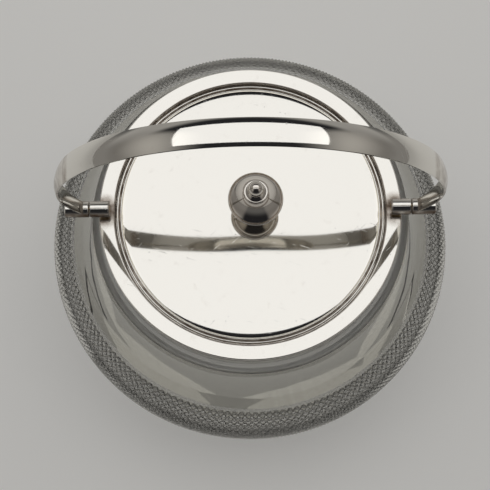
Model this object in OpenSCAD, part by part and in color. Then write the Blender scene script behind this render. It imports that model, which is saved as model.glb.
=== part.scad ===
// Glass biscuit jar with a silver-plated collar, a lift-off lid with a turned
// knob, and a swing bail. Millimetres, +Z up, origin at the middle of the base.

/* [Glass body] */
// Radius at the widest point of the diamond-cut band
belly_r = 78.3; // [76:0.1:84]
// Height of the widest point above the base
belly_z = 49.8; // [44:0.1:54]
// Radius of the belly's curve below the widest point
bowl_curve = 75; // [62:0.5:90]
// Radius of the foot that the jar stands on
foot_r = 59.4; // [54:0.1:62]
// Chamfer round the foot
foot_chamfer = 1.5; // [0.5:0.1:3]
// Radius of the band's curve above the widest point
band_curve = 15; // [13:0.5:17]
// Height of the band's top line above the widest point
band_rise = 13.6; // [10:0.1:14.5]
// How far the band's top line is drawn in from the widest point
band_draw = 8.7; // [7:0.1:10]
// Width of the flat line along the top of the band
band_lip = 1.2; // [0.6:0.1:2]
// Radius of the shoulder where it comes out under the collar
shoulder_r = 57.4; // [56.8:0.1:59]
// Height of the top of the shoulder
shoulder_z = 86.6; // [82:0.1:90]
// Radius of the hollow curve of the shoulder
shoulder_curve = 30; // [27:0.5:36]
// Thickness of the glass wall
glass_wall = 4; // [3:0.1:5]
// Thickness of the glass floor
floor_t = 7; // [5:0.5:10]
// Width of the foot left at the corners of the six-sided panel under the base
panel_margin = 1.9; // [1:0.1:8]
// Depth of the panel cut under the base
panel_deep = 1.2; // [0.5:0.1:2.5]
// Turn of the panel about the upright axis
panel_turn = 20; // [0:1:59]
// Wall of the ground neck inside the collar
neck_wall = 2.5; // [2:0.1:3]
// Height of the neck above the shoulder
neck_h = 7; // [5:0.1:9]

/* [Collar] */
// Outer radius of the plated collar
collar_r = 55; // [53:0.1:56.5]
// Thickness of the collar's sheet
collar_sheet = 1.1; // [0.8:0.1:1.5]
// Radius of the rolled outer edge
collar_roll = 0.5; // [0.3:0.1:2.5]
// Depth of the collar's skirt over the neck
skirt_h = 8.6; // [6:0.1:8.8]
// Plaster between the neck and the collar's sheet
cement_gap = 0.5; // [0.3:0.1:0.8]
// Plaster above the top of the neck
cement_top = 1.3; // [0.8:0.1:2]
// Depth of the recess that the lid sits in
recess_deep = 2.4; // [1.8:0.1:3.5]
// Width of the ledge under the lid
ledge_w = 2.8; // [2:0.1:4]
// Depth of the throat below the ledge
throat_h = 6; // [4:0.1:9]

/* [Lid] */
// Gap round the lid in its recess
lid_gap = 0.5; // [0.3:0.1:1]
// Width of the lid's flat rim
lid_rim_w = 1.5; // [1:0.1:2.5]
// Thickness of the lid's sheet
lid_sheet = 1; // [0.8:0.1:1.4]
// Radius of the round bead along the lid's rim
lid_bead_r = 0.6; // [0.4:0.05:0.7]
// Radius of the sphere that the lid's dome is part of
dome_r = 314; // [250:1:600]
// Gap between the locating flange and the throat
flange_gap = 0.4; // [0.3:0.05:1]
// Depth of the locating flange under the lid
flange_h = 6.6; // [4:0.1:9]

/* [Knob] */
// Knob's place to the right of the lid's middle
knob_x = 1.8; // [-4:0.1:4]
// Knob's place behind the lid's middle
knob_y = 0; // [-4:0.1:4]
// Radius of the knob's foot
knob_foot_r = 6; // [5.5:0.05:11]
// Height of the knob's foot moulding
knob_foot_h = 1.6; // [1.2:0.1:3]
// Radius of the knob's waist
knob_waist_r = 3.4; // [3:0.1:5]
// Height of the waist above the lid
knob_waist_z = 5; // [4.5:0.1:13]
// Radius of the knob's wide rim
knob_rim_r = 9.75; // [8:0.05:12]
// Height of the middle of the rim above the waist
knob_rim_up = 6.6; // [5:0.1:15]
// Thickness of the rim moulding
knob_rim_h = 2.6; // [2:0.1:3.5]
// Height of the cone above the rim
knob_cone_h = 7; // [5:0.1:9]
// Radius of the cone's top, under the bead
knob_neck_r = 2.75; // [2.2:0.05:3.2]
// Radius of the bead under the ball
knob_bead_r = 4.45; // [3.6:0.05:5.5]
// Height of the bead
knob_bead_h = 2.2; // [1.6:0.1:3]
// Radius of the ball at the top
knob_ball_r = 2.85; // [2:0.05:3.5]
// How far the ball is sunk in the bead
knob_ball_sink = 0.8; // [0.4:0.1:1.5]
// Radius of the screw that holds the knob
stud_r = 2; // [1.5:0.1:2.4]
// Play of the screw in its holes
stud_play = 0.1; // [0.05:0.05:0.2]
// Length of the screw in the cap, above the waist
stud_in_cap = 6; // [3:0.5:9]
// Width across the flats of the nut under the lid
nut_flats = 7; // [6:0.1:9]
// Height of the nut
nut_h = 3; // [2:0.1:4]
// Radius of the washer under the lid
washer_r = 5.5; // [5:0.1:8]
// Thickness of the washer
washer_t = 0.8; // [0.5:0.1:1.2]

/* [Bail] */
// Half the width of the bail over its outer faces
bail_half = 66.7; // [63:0.1:70]
// Height of the bail's top above the collar
bail_top = 85.8; // [70:0.1:95]
// Height of the bail's widest point above the collar
bail_wide_z = 27; // [18:0.5:28]
// Width of the strip at the top
strip_w = 9; // [7:0.1:11]
// Width of the strip at its widest bend
strip_side_w = 6.8; // [5.5:0.1:8]
// Width of the strip where it meets the knuckle
strip_end_w = 4.6; // [3.6:0.1:5.6]
// Thickness of the strip in the middle
strip_t = 2; // [1.6:0.1:3]

/* [Pivots] */
// Radius of the pivot tubes
tube_r = 2.9; // [2.5:0.05:3.4]
// Height of the tubes' underside above the collar
tube_lift = 0.2; // [0.1:0.05:0.6]
// Distance of a lug's inner end in from the collar's edge
lug_inset = 4.3; // [3.4:0.1:4.8]
// Room between the joint of lug and knuckle and the inside of the bail's foot
joint_clear = 0.4; // [0.2:0.1:2]
// Gap between the end faces of lug and knuckle
joint_gap = 0.3; // [0.2:0.05:0.5]
// Length of a knuckle
knuckle_l = 8.7; // [7:0.1:10]
// Radius of the pivot pin
pin_r = 1.25; // [1:0.05:1.5]
// Running play of the knuckle on its pin
pin_play = 0.05; // [0.02:0.01:0.09]
// Size along the tube of the cradle that holds a lug
cradle_l = 3.4; // [2.5:0.1:4]
// Distance from a lug's inner end to its cradle
cradle_off = 0.4; // [0.2:0.1:0.8]
// Size across the tube of the cradle
cradle_w = 6.4; // [5:0.1:7.5]
// Height of the cradle's sides
cradle_h = 1.5; // [1:0.1:2.2]

/* [Hidden] */
$fn = 120;
big = 400;

// Glass: three arcs, each through two corners of the outline.
band_top_z = belly_z + band_rise;
band_edge_r = belly_r - band_draw;
lip_r = band_edge_r - band_lip;
bowl_steps = 24;
band_steps = 10;
shoulder_steps = 20;

// Points k = first to steps of an arc of radius r through two corners. A positive r
// bends round a middle on the left of the way, a negative one round one on the right.
// The points are then drawn to the left by an inset.
function arc_points(from, to, r, inset, first, steps) = let(
    way = to - from,
    l = norm(way),
    left = [-way[1], way[0]] / l,
    mid = (from + to) / 2 + sign(r) * sqrt(r * r - l * l / 4) * left,
    start = atan2(from[1] - mid[1], from[0] - mid[0]),
    turn = 2 * asin(l / 2 / r))
    [for (k = [first:steps]) let(a = start + turn * k / steps)
        mid + (abs(r) - sign(r) * inset) * [cos(a), sin(a)]];

// Neck and collar, from the outside in.
neck_r = collar_r - collar_sheet - cement_gap;
neck_in_r = neck_r - neck_wall;
neck_top_z = shoulder_z + neck_h;
top_z = neck_top_z + cement_top + collar_sheet;
recess_wall_out = neck_in_r - cement_gap;
recess_r = recess_wall_out - collar_sheet;
ledge_z = top_z - recess_deep;
throat_r = recess_r - ledge_w;
skirt_z = top_z - skirt_h;

// Lid: the dome's sheet stands on the ledge with its rim.
lid_r = recess_r - lid_gap;
dome_edge_r = lid_r - lid_rim_w;
dome_edge_z = ledge_z + lid_sheet;
dome_mid_z = dome_edge_z - sqrt(dome_r * dome_r - dome_edge_r * dome_edge_r);
flange_r = throat_r - flange_gap;

// Knob: heights above the base of the jar.
knob_off = sqrt(knob_x * knob_x + knob_y * knob_y);
knob_z = dome_mid_z + sqrt(dome_r * dome_r - knob_off * knob_off);
waist_z = knob_z + knob_waist_z;
rim_z = waist_z + knob_rim_up;
cone_z = rim_z + knob_rim_h / 2;
bead_z = cone_z + knob_cone_h;
ball_z = bead_z + knob_bead_h + knob_ball_r - knob_ball_sink;
under_r = dome_r - lid_sheet;
washer_reach = knob_off + washer_r;
washer_z = dome_mid_z + sqrt(under_r * under_r - washer_reach * washer_reach) - washer_t;

// Bail: an oval that runs on below its widest point to the pivots.
axis_z = top_z + tube_lift + tube_r;
side_z = top_z + bail_wide_z;
rise = bail_top - bail_wide_z;
end_drop = asin((side_z - axis_z + tube_r / 2) / rise);
bail_steps = 72;
lug_in = collar_r - lug_inset;
joint_x = (bail_half - strip_t) * cos(end_drop) - joint_clear;
knuckle_in = joint_x + joint_gap / 2;
lug_out = joint_x - joint_gap / 2;

// Side of the glass from the foot up, drawn in by the wall for the inside: bowl
// below the widest point, rounded band above it, hollow shoulder to the neck.
function glass_side(inset) = concat(
    arc_points([foot_r, 0], [belly_r, belly_z], bowl_curve, inset, 1, bowl_steps),
    arc_points([belly_r, belly_z], [band_edge_r, band_top_z], band_curve, inset, 1, band_steps),
    arc_points([lip_r, band_top_z], [shoulder_r, shoulder_z], -shoulder_curve, inset, 0,
        shoulder_steps));

module glass_body() {
    color([0.86, 0.9, 0.9, 0.45])
    difference() {
        rotate_extrude() difference() {
            union() {
                polygon(concat([[0, 0], [foot_r - foot_chamfer, 0]], glass_side(0),
                    [[0, shoulder_z]]));
                square([neck_r, neck_top_z]);
            }
            intersection() {
                polygon(concat([[0, 0], [foot_r - glass_wall, 0]], glass_side(glass_wall),
                    [[0, shoulder_z]]));
                translate([0, floor_t]) square([big, shoulder_z - glass_wall - floor_t]);
            }
            translate([0, floor_t]) square([neck_in_r, neck_top_z]);
        }
        rotate([0, 0, panel_turn]) translate([0, 0, -1])
            cylinder(h = panel_deep + 1, r = foot_r - foot_chamfer - panel_margin, $fn = 6);
    }
}

// Plaster that fills the channel of the collar round the neck.
module collar_cement() {
    color("beige")
    rotate_extrude() difference() {
        union() {
            translate([recess_wall_out, ledge_z]) square([neck_r + cement_gap - recess_wall_out,
                neck_top_z + cement_top - ledge_z]);
            translate([neck_r, skirt_z]) square([cement_gap, neck_top_z - skirt_z]);
        }
        translate([neck_in_r, 0]) square([neck_wall, neck_top_z]);
    }
}

// One sheet: skirt with a rolled edge, flat ring, recess wall, ledge and throat.
module collar() {
    color([0.86, 0.85, 0.82])
    rotate_extrude() {
        difference() {
            union() {
                translate([collar_r - collar_roll, top_z - collar_roll]) circle(r = collar_roll);
                translate([recess_r, top_z - collar_sheet])
                    square([collar_r - collar_roll - recess_r, collar_sheet]);
                translate([collar_r - collar_sheet, skirt_z])
                    square([collar_sheet, skirt_h - collar_roll]);
            }
            translate([0, -1]) square([neck_r + cement_gap, neck_top_z + cement_top + 1]);
        }
        translate([recess_r, ledge_z - collar_sheet])
            square([collar_sheet, recess_deep + collar_sheet / 2]);
        translate([throat_r, ledge_z - collar_sheet]) square([ledge_w, collar_sheet]);
        translate([throat_r, ledge_z - throat_h]) square([collar_sheet, throat_h]);
    }
}

// Tube along X, side +1 on the right and -1 on the left.
module tube(side, from_x, to_x, outer, bore) {
    translate([side * from_x, 0, axis_z]) rotate([0, side * 90, 0]) difference() {
        cylinder(h = to_x - from_x, r = outer);
        translate([0, 0, -1]) cylinder(h = to_x - from_x + 2, r = bore);
    }
}

// Low cradle on the collar's flat ring, soldered round the underside of the lug.
module lug_cradle(side) {
    mid_x = lug_in + cradle_off + cradle_l / 2;
    color([0.7, 0.66, 0.56])
    difference() {
        translate([side * mid_x, 0, top_z + cradle_h / 2])
            cube([cradle_l, cradle_w, cradle_h], center = true);
        translate([side * mid_x, 0, axis_z]) rotate([0, 90, 0])
            cylinder(h = 2 * cradle_l, r = tube_r, center = true);
    }
}

module lug(side) {
    color([0.8, 0.79, 0.76]) tube(side, lug_in, lug_out, tube_r, pin_r);
}

module knuckle(side) {
    color([0.82, 0.81, 0.78])
        tube(side, knuckle_in, knuckle_in + knuckle_l, tube_r, pin_r + pin_play);
}

module pivot_pin(side) {
    color([0.72, 0.62, 0.4])
    translate([side * lug_in, 0, axis_z]) rotate([0, side * 90, 0])
        cylinder(h = knuckle_in + knuckle_l - lug_in, r = pin_r);
}

// Domed sheet with a flat rim and a round bead, bored for the knob's screw.
module lid_disc() {
    color([0.88, 0.88, 0.86])
    difference() {
        rotate_extrude() {
            intersection() {
                difference() {
                    translate([0, dome_mid_z]) circle(r = dome_r, $fn = 720);
                    translate([0, dome_mid_z]) circle(r = under_r, $fn = 720);
                }
                translate([0, ledge_z]) square([dome_edge_r, big]);
            }
            translate([dome_edge_r - lid_sheet, ledge_z])
                square([lid_rim_w + lid_sheet - lid_bead_r, lid_sheet]);
            translate([lid_r - lid_bead_r, ledge_z + lid_bead_r]) circle(r = lid_bead_r);
        }
        translate([knob_x, knob_y, ledge_z]) cylinder(h = big, r = stud_r + stud_play);
    }
}

// Upright ring soldered under the dome, which keeps the lid in the throat.
module lid_flange() {
    color([0.78, 0.77, 0.74])
    intersection() {
        translate([0, 0, ledge_z - flange_h]) difference() {
            cylinder(h = flange_h * 2, r = flange_r);
            translate([0, 0, -1]) cylinder(h = flange_h * 2 + 2, r = flange_r - collar_sheet);
        }
        translate([0, 0, dome_mid_z]) sphere(r = under_r, $fn = 720);
    }
}

// Cuts the knob's screw hole out of its children, up to a height.
module bored(up_to) {
    translate([knob_x, knob_y, 0]) difference() {
        children();
        cylinder(h = up_to, r = stud_r + stud_play);
    }
}

// Turned foot: a double moulding that draws in to the waist.
module knob_base() {
    curve = knob_waist_z - knob_foot_h;
    color([0.6, 0.59, 0.57])
    difference() {
        bored(big) rotate_extrude() difference() {
            union() {
                translate([0, knob_z - 1])
                    square([knob_foot_r - knob_foot_h / 4, knob_foot_h + 1]);
                translate([knob_foot_r - knob_foot_h / 4, knob_z + knob_foot_h / 4])
                    circle(r = knob_foot_h / 4);
                translate([knob_foot_r - knob_foot_h / 2, knob_z + knob_foot_h * 3 / 4])
                    circle(r = knob_foot_h / 4);
                translate([0, knob_z]) square([knob_foot_r - knob_foot_h / 2, knob_waist_z]);
            }
            translate([knob_waist_r + curve, waist_z]) circle(r = curve);
            translate([knob_waist_r + curve, knob_z + knob_foot_h]) square([big, big]);
        }
        translate([0, 0, dome_mid_z]) sphere(r = dome_r, $fn = 720);
    }
}

// Turned cap: a bell that spreads to a double rim, with a hollow cone on top.
module knob_cap() {
    bell = knob_rim_up - knob_rim_h / 2;
    edge_r = knob_rim_r - knob_rim_h / 4;
    color([0.45, 0.44, 0.43])
    bored(waist_z + stud_in_cap) rotate_extrude() {
        polygon([[0, waist_z], [knob_waist_r, waist_z], [knob_waist_r, waist_z + bell / 3],
            [edge_r, waist_z + bell], [edge_r, cone_z],
            [edge_r - knob_rim_h / 2, cone_z], [knob_neck_r + 1, cone_z + knob_cone_h / 2],
            [knob_neck_r, bead_z], [0, bead_z]]);
        for (step = [-1, 1])
            translate([edge_r, rim_z + step * knob_rim_h / 4]) circle(r = knob_rim_h / 4);
    }
}

// Bead and ball at the very top, turned in one.
module knob_tip() {
    color([0.75, 0.74, 0.72])
    translate([knob_x, knob_y, 0]) rotate_extrude() {
        translate([knob_bead_r - knob_bead_h / 2, bead_z + knob_bead_h / 2])
            circle(r = knob_bead_h / 2);
        translate([0, bead_z]) square([knob_bead_r - knob_bead_h / 2, knob_bead_h]);
        intersection() {
            translate([0, ball_z]) circle(r = knob_ball_r);
            translate([0, bead_z]) square(big);
        }
    }
}

module knob_stud() {
    color([0.7, 0.6, 0.35])
    translate([knob_x, knob_y, washer_z - nut_h])
        cylinder(h = waist_z + stud_in_cap - washer_z + nut_h, r = stud_r);
}

module knob_washer() {
    color([0.72, 0.62, 0.38])
    translate([knob_x, knob_y, washer_z]) difference() {
        cylinder(h = washer_t, r = washer_r);
        translate([0, 0, -1]) cylinder(h = washer_t + 2, r = stud_r + stud_play);
    }
}

module knob_nut() {
    color([0.7, 0.6, 0.36])
    translate([knob_x, knob_y, washer_z - nut_h]) difference() {
        cylinder(h = nut_h, d = nut_flats / cos(30), $fn = 6);
        translate([0, 0, -1]) cylinder(h = nut_h + 2, r = stud_r);
    }
}

// The bail's oval curve from the right knuckle over the top, drawn in by an inset.
function bail_curve(inset) = [for (k = [0:bail_steps])
    let(a = -end_drop + (180 + 2 * end_drop) * k / bail_steps)
        [(bail_half - inset) * cos(a), side_z + (rise - inset) * sin(a)]];

function reversed(list) = [for (k = [len(list) - 1:-1:0]) list[k]];

// Side view of the strip: narrows from the top down to the knuckles.
module strip_side() {
    rotate([90, 0, 90]) linear_extrude(height = big, center = true)
        polygon([for (p = [[strip_end_w, axis_z - tube_r], [strip_end_w, axis_z + tube_r],
            [strip_side_w, side_z], [strip_w, side_z + rise / 2], [strip_w, big],
            [-strip_w, big], [-strip_w, side_z + rise / 2], [-strip_side_w, side_z],
            [-strip_end_w, axis_z + tube_r], [-strip_end_w, axis_z - tube_r]])
            [p[0] / 2, p[1]]]);
}

module bail_strip() {
    color([0.84, 0.83, 0.8])
    difference() {
        intersection() {
            rotate([90, 0, 0]) linear_extrude(height = strip_w, center = true)
                polygon(concat(bail_curve(0), reversed(bail_curve(strip_t))));
            strip_side();
        }
        translate([0, 0, axis_z]) rotate([0, 90, 0])
            cylinder(h = big, r = tube_r, center = true);
        translate([0, 0, axis_z - big / 2]) cube(big, center = true);
    }
}

glass_body();
collar_cement();
collar();
lug_cradle(-1);  // lug_cradle_left
lug_cradle(1);  // lug_cradle_right
lug(-1);  // lug_left
lug(1);  // lug_right
pivot_pin(-1);  // pivot_pin_left
pivot_pin(1);  // pivot_pin_right
lid_disc();
lid_flange();
knob_base();
knob_cap();
knob_tip();
knob_stud();
knob_washer();
knob_nut();
bail_strip();
knuckle(-1);  // knuckle_left
knuckle(1);  // knuckle_right
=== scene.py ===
import math
import bmesh
import bpy
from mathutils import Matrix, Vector, noise


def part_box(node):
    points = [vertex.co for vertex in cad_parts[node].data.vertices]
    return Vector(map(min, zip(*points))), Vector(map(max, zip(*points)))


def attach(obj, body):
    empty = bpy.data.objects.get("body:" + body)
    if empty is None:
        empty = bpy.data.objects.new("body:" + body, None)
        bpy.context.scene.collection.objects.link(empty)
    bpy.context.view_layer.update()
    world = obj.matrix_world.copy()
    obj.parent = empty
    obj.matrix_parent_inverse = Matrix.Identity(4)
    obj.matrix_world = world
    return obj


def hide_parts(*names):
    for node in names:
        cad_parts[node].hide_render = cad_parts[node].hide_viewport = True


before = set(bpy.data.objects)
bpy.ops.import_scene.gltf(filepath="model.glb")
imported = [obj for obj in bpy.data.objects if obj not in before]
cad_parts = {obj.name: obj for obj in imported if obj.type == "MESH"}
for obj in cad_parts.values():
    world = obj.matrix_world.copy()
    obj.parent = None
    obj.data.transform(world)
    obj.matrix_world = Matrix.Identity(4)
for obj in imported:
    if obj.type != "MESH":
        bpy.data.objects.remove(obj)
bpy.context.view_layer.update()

# ---------------------------------------------------------------- camera
# The jar is seen steeply from above and in front, with the bail across the
# picture. The place and the focal length are fitted to the outlines of the
# collar and the bail.
MM = 0.001
VIEW_TILT = 75.73
VIEW_TURN = 0.55
VIEW_DISTANCE = 437 * MM
SIDE_SHIFT = 1.95 * MM
UP_SHIFT = 12.63 * MM
SENSOR_WIDE = 36
FOCAL_PIXELS = 1202
PICTURE_PIXELS = 490

collar_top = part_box("collar")[1].z / MM
tilt = math.radians(VIEW_TILT)
turn = -math.radians(VIEW_TURN)
across = Vector((math.cos(turn), math.sin(turn), 0))
behind = Vector((-math.sin(turn), math.cos(turn), 0))
toward_camera = Vector((0, 0, math.sin(tilt))) - math.cos(tilt) * behind
picture_up = Vector((0, 0, math.cos(tilt))) + math.sin(tilt) * behind
camera_data = bpy.data.cameras.new("photo_camera")
camera_data.sensor_width = SENSOR_WIDE
camera_data.lens = SENSOR_WIDE * FOCAL_PIXELS / PICTURE_PIXELS
camera = bpy.data.objects.new("photo_camera", camera_data)
camera.location = (Vector((0, 0, collar_top * MM)) - SIDE_SHIFT * across
                   - UP_SHIFT * picture_up + VIEW_DISTANCE * toward_camera)
camera.rotation_euler = (math.pi / 2 - tilt, 0, turn)
bpy.context.scene.collection.objects.link(camera)
bpy.context.scene.camera = camera
bpy.context.scene.view_settings.view_transform = "Standard"


# ---------------------------------------------------------------- tabletop
# A plain, matt, pale tabletop that runs on far past the jar. It keeps the
# jar's shadow, and metal and glass show it as pale as the camera does. Sizes
# in the room are in metres, and all others are in millimetres.
FLOOR_HALF = 4.0
FLOOR_GLOW = 0.4


def linear(hex_colour):
    """Turns an sRGB hex colour into Blender's linear one."""
    shares = [int(hex_colour[k:k + 2], 16) / 255 for k in (1, 3, 5)]
    return tuple(s / 12.92 if s <= 0.04045 else ((s + 0.055) / 1.055) ** 2.4
                 for s in shares) + (1,)


def add(tree, kind, values=None, links=None, **settings):
    """Adds a node with its settings, its socket values and its incoming links."""
    made = tree.nodes.new(kind)
    for name, value in settings.items():
        setattr(made, name, value)
    for name, value in (values or {}).items():
        made.inputs[name].default_value = value
    for name, source in (links or {}).items():
        tree.links.new(source, made.inputs[name])
    return made


def empty_material(name):
    """Makes a material with an empty node tree, and returns both."""
    material = bpy.data.materials.new(name)
    material.use_nodes = True
    material.node_tree.nodes.clear()
    return material, material.node_tree


# Matt paint: it scatters the light evenly, with hardly any sheen. A part of its
# brightness is a glow that the eye, metal and glass see and that lights nothing.
FLOOR_COLOUR = linear("#cfcecb")

matt_paint, tree = empty_material("matt_pale_tabletop")
seen = add(tree, "ShaderNodeLightPath")
seen_or_shiny = add(tree, "ShaderNodeMath", operation="MAXIMUM",
                    links={0: seen.outputs["Is Camera Ray"], 1: seen.outputs["Is Glossy Ray"]})
seen_at_all = add(tree, "ShaderNodeMath", operation="MAXIMUM",
                  links={0: seen_or_shiny.outputs[0], 1: seen.outputs["Is Transmission Ray"]})
glow = add(tree, "ShaderNodeMath", {1: FLOOR_GLOW}, {0: seen_at_all.outputs[0]},
           operation="MULTIPLY")
floor_shader = add(tree, "ShaderNodeBsdfPrincipled",
                   {"Base Color": FLOOR_COLOUR, "Roughness": 0.9, "Specular IOR Level": 0.2,
                    "Emission Color": FLOOR_COLOUR},
                   {"Emission Strength": glow.outputs[0]})
add(tree, "ShaderNodeOutputMaterial", links={"Surface": floor_shader.outputs[0]})

floor_mesh = bpy.data.meshes.new("tabletop")
floor_mesh.from_pydata([(x * FLOOR_HALF, y * FLOOR_HALF, 0)
                        for x, y in ((-1, -1), (1, -1), (1, 1), (-1, 1))], [], [(0, 1, 2, 3)])
floor_mesh.materials.append(matt_paint)
floor = bpy.data.objects.new("tabletop", floor_mesh)
bpy.context.scene.collection.objects.link(floor)


# ---------------------------------------------------------------- room and diffuser
# Soft studio light: one wide diffuser overhead, in a plain room that is dark in
# front and above, grey at the sides, and has a paler wall behind the jar.
ROOM_DARK = linear("#232325")
ROOM_SIDE_LOW = linear("#65625f")
ROOM_SIDE_HIGH = linear("#aaa7a2")
ROOM_WALL = linear("#93918e")
DIFFUSER_WIDE = 1.15
DIFFUSER_DEEP = 0.8
DIFFUSER_Y = 0.25
DIFFUSER_Z = 0.85
DIFFUSER_BRIGHT = 0.97
# Low down the tabletop runs into the backdrop. Glass shows it pale there, and
# silver shows only a little of it.
ROOM_LOW = linear("#b4b3b0")
LOW_IN_SILVER = 0.22
# Where each tone fades in, as shares of a direction of length 1: of its level
# part for the sides, of its X for what is aslant, and of its Z or Y for the rest.
SIDES_FADE = (0.58, 0.76)
ASLANT_FADE = (0.35, 0.85)
BACK_FADE = (-0.1, 0.1)
BACK_NARROWER = 0.1
SIDE_HEIGHTS = (0.15, 0.7)
WALL_FOOT = (0.04, 0.16)
WALL_TOP = (0.42, 0.56)
WALL_WIDTH = (0.25, 0.7)
LOW_HEIGHTS = (0.1, 0.34)

world = bpy.data.worlds.new("grey_room")
world.use_nodes = True
world.node_tree.nodes.clear()
tree = world.node_tree
way = add(tree, "ShaderNodeTexCoord")
xyz = add(tree, "ShaderNodeSeparateXYZ", links={0: way.outputs["Generated"]})

# The grey sides, lighter the higher one looks.
level = add(tree, "ShaderNodeVectorMath", {1: (1, 1, 0)}, {0: way.outputs["Generated"]},
            operation="MULTIPLY")
level_long = add(tree, "ShaderNodeVectorMath", links={0: level.outputs[0]}, operation="LENGTH")
to_side = add(tree, "ShaderNodeMath", links={0: xyz.outputs["X"]}, operation="ABSOLUTE")
sideways = add(tree, "ShaderNodeMath", operation="DIVIDE",
               links={0: to_side.outputs[0], 1: level_long.outputs["Value"]})
back = add(tree, "ShaderNodeMapRange",
           {"From Min": BACK_FADE[0], "From Max": BACK_FADE[1],
            "To Min": 0.0, "To Max": BACK_NARROWER}, {"Value": xyz.outputs["Y"]})
narrowed = add(tree, "ShaderNodeMath", links={0: sideways.outputs[0], 1: back.outputs[0]},
               operation="SUBTRACT")
beside = add(tree, "ShaderNodeMapRange", {"From Min": SIDES_FADE[0], "From Max": SIDES_FADE[1]},
             {"Value": narrowed.outputs[0]}, interpolation_type="SMOOTHSTEP")
aslant = add(tree, "ShaderNodeMapRange", {"From Min": ASLANT_FADE[0], "From Max": ASLANT_FADE[1]},
             {"Value": to_side.outputs[0]}, interpolation_type="SMOOTHSTEP")
sides = add(tree, "ShaderNodeMath", links={0: beside.outputs[0], 1: aslant.outputs[0]},
            operation="MULTIPLY")
upward = add(tree, "ShaderNodeMapRange", {"From Min": SIDE_HEIGHTS[0], "From Max": SIDE_HEIGHTS[1]},
             {"Value": xyz.outputs["Z"]}, interpolation_type="SMOOTHSTEP")
side_colour = add(tree, "ShaderNodeMix", {6: ROOM_SIDE_LOW, 7: ROOM_SIDE_HIGH},
                  {0: upward.outputs[0]}, data_type="RGBA")
dark_and_sides = add(tree, "ShaderNodeMix", {6: ROOM_DARK},
                     {0: sides.outputs[0], 7: side_colour.outputs[2]}, data_type="RGBA")

# The wall behind the jar.
wall_foot = add(tree, "ShaderNodeMapRange", {"From Min": WALL_FOOT[0], "From Max": WALL_FOOT[1]},
                {"Value": xyz.outputs["Z"]}, interpolation_type="SMOOTHSTEP")
wall_top = add(tree, "ShaderNodeMapRange",
               {"From Min": WALL_TOP[0], "From Max": WALL_TOP[1], "To Min": 1.0, "To Max": 0.0},
               {"Value": xyz.outputs["Z"]}, interpolation_type="SMOOTHSTEP")
wall_wide = add(tree, "ShaderNodeMapRange", {"From Min": WALL_WIDTH[0], "From Max": WALL_WIDTH[1]},
                {"Value": xyz.outputs["Y"]}, interpolation_type="SMOOTHSTEP")
wall_high = add(tree, "ShaderNodeMath", links={0: wall_foot.outputs[0], 1: wall_top.outputs[0]},
                operation="MULTIPLY")
wall = add(tree, "ShaderNodeMath", links={0: wall_high.outputs[0], 1: wall_wide.outputs[0]},
           operation="MULTIPLY")
with_wall = add(tree, "ShaderNodeMix", {7: ROOM_WALL},
                {0: wall.outputs[0], 6: dark_and_sides.outputs[2]}, data_type="RGBA")

# The backdrop low down, by the kind of ray that sees it.
low = add(tree, "ShaderNodeMapRange",
          {"From Min": LOW_HEIGHTS[0], "From Max": LOW_HEIGHTS[1], "To Min": 1.0, "To Max": 0.0},
          {"Value": xyz.outputs["Z"]}, interpolation_type="SMOOTHSTEP")
ray = add(tree, "ShaderNodeLightPath")
shown = add(tree, "ShaderNodeMapRange", {"To Min": LOW_IN_SILVER, "To Max": 1.0},
            {"Value": ray.outputs["Is Transmission Ray"]})
low_shown = add(tree, "ShaderNodeMath", links={0: low.outputs[0], 1: shown.outputs[0]},
                operation="MULTIPLY")
room_colour = add(tree, "ShaderNodeMix", {7: ROOM_LOW},
                  {0: low_shown.outputs[0], 6: with_wall.outputs[2]}, data_type="RGBA")
seen_colour = add(tree, "ShaderNodeMix", {7: FLOOR_COLOUR},
                  {0: ray.outputs["Is Camera Ray"], 6: room_colour.outputs[2]}, data_type="RGBA")
room = add(tree, "ShaderNodeBackground", links={"Color": seen_colour.outputs[2]})
add(tree, "ShaderNodeOutputWorld", links={"Surface": room.outputs[0]})
bpy.context.scene.world = world

diffuser_data = bpy.data.lights.new("overhead_diffuser", "AREA")
diffuser_data.shape = "RECTANGLE"
diffuser_data.size = DIFFUSER_WIDE
diffuser_data.size_y = DIFFUSER_DEEP
diffuser_data.energy = DIFFUSER_BRIGHT * math.pi * DIFFUSER_WIDE * DIFFUSER_DEEP
diffuser = bpy.data.objects.new("overhead_diffuser", diffuser_data)
diffuser.location = (0, DIFFUSER_Y, DIFFUSER_Z)
diffuser.visible_camera = False
bpy.context.scene.collection.objects.link(diffuser)


# ---------------------------------------------------------------- glass barrel
# Clear lead glass, blown in a mould and fire-polished. A band of small pointed
# diamonds is cut round its belly and a six-sided panel under its base. The
# dull ground neck stands inside the collar.
TURNS = 336
BELLY_R = 78.3
BELLY_Z = 49.8
BOWL_CURVE = 75.0
FOOT_R = 59.4
FOOT_CHAMFER = 1.5
BAND_CURVE = 15.0
BAND_RISE = 13.6
BAND_DRAW = 8.7
BAND_LIP = 1.2
BAND_LOW_ANGLE = 17.8
PLAIN_FROM_ANGLE = BAND_LOW_ANGLE + 1.6
DIAMOND_HALF_HIGH = 1.6
DIAMOND_DEEP = 1.0
POINT_MARK = 0.4
PIT_MARK = 1.0
SHOULDER_R = 57.4
SHOULDER_Z = 86.6
SHOULDER_CURVE = 30.0
SHOULDER_STEPS = 30
BEAD_HALF = 1.1
BEAD_HIGH = 0.25
BEAD_FLAT = 0.2
SHOULDER_WAVE = 0.12
WAVE_LONG = 17.0
GLASS_WALL = 4.0
GLASS_FLOOR = 7.0
FLOOR_RINGS = (0, 20, 40, 54)
FLOOR_BEND_ANGLE = 1.5
INNER_BAND_ANGLES = (8, 70)
INNER_LIP_Z = 62.2
NECK_R = 53.4
NECK_IN_R = 50.9
NECK_ROUND = 0.5
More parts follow.
